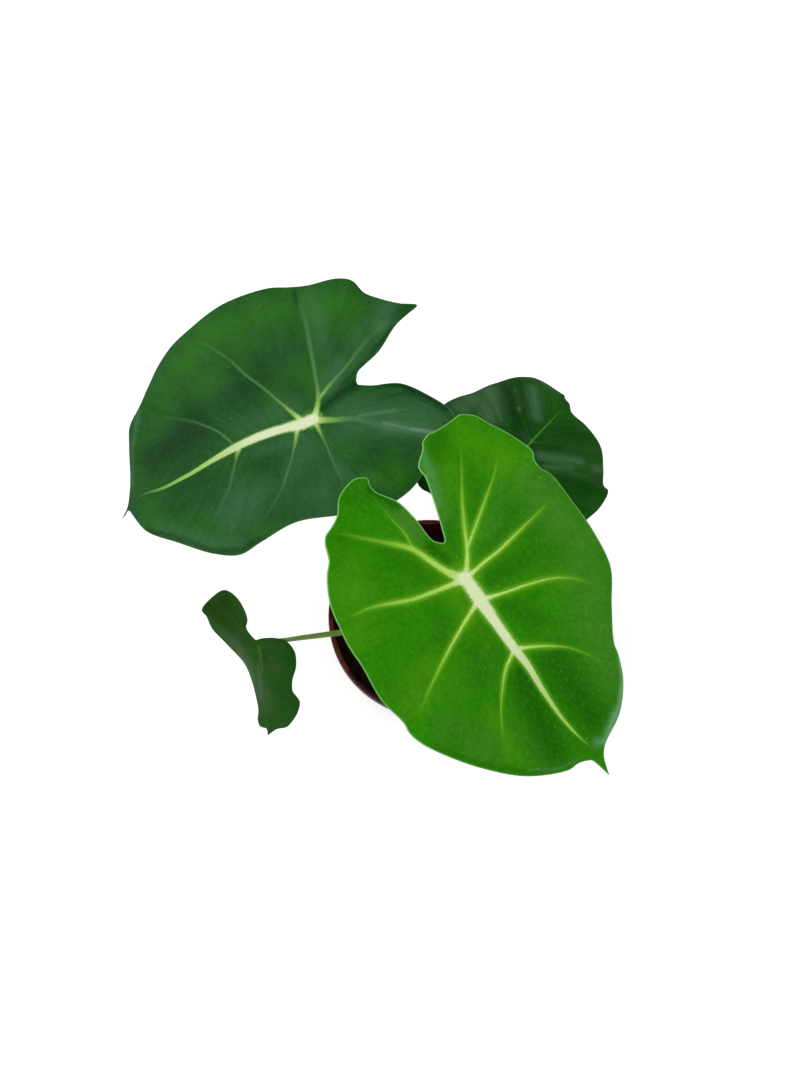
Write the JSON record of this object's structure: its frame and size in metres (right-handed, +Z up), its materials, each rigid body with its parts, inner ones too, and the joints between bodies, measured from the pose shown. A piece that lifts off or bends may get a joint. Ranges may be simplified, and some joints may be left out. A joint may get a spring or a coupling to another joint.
{
  "type": "potted frydek alocasia",
  "caption": "Young arrowhead-leaved houseplant in a round nursery pot, with upright stalks that carry heart-shaped velvety blades with pale veins.",
  "frame": {"origin": "centre of the pot's flat base, on the surface that the pot stands on", "axes": "+Z up along the pot's axis, -Y towards the side that the plant is seen from, +X to that viewer's right"},
  "size_m": [0.2477, 0.2429, 0.3061],
  "materials": {
    "pot": "dark maroon moulded plastic, half matt",
    "potting_mix": "moist dark potting mix with a few pale grains",
    "stem": "smooth green stalk, paler at the foot",
    "leaf_young": "bright green velvety blade with pale yellow-green veins",
    "leaf_mature": "dark bluish green velvety blade with a soft grey sheen and a cream midrib"
  },
  "bodies": {
    "root": {"pot": "pot", "potting_mix": "potting_mix", "crown": "stem", "petiole_front": "stem", "blade_front": "leaf_young", "petiole_left": "stem", "blade_left": "leaf_mature", "petiole_back": "stem", "blade_back": "leaf_mature", "petiole_small": "stem", "blade_small": "leaf_mature"}
  },
  "joints": []
}
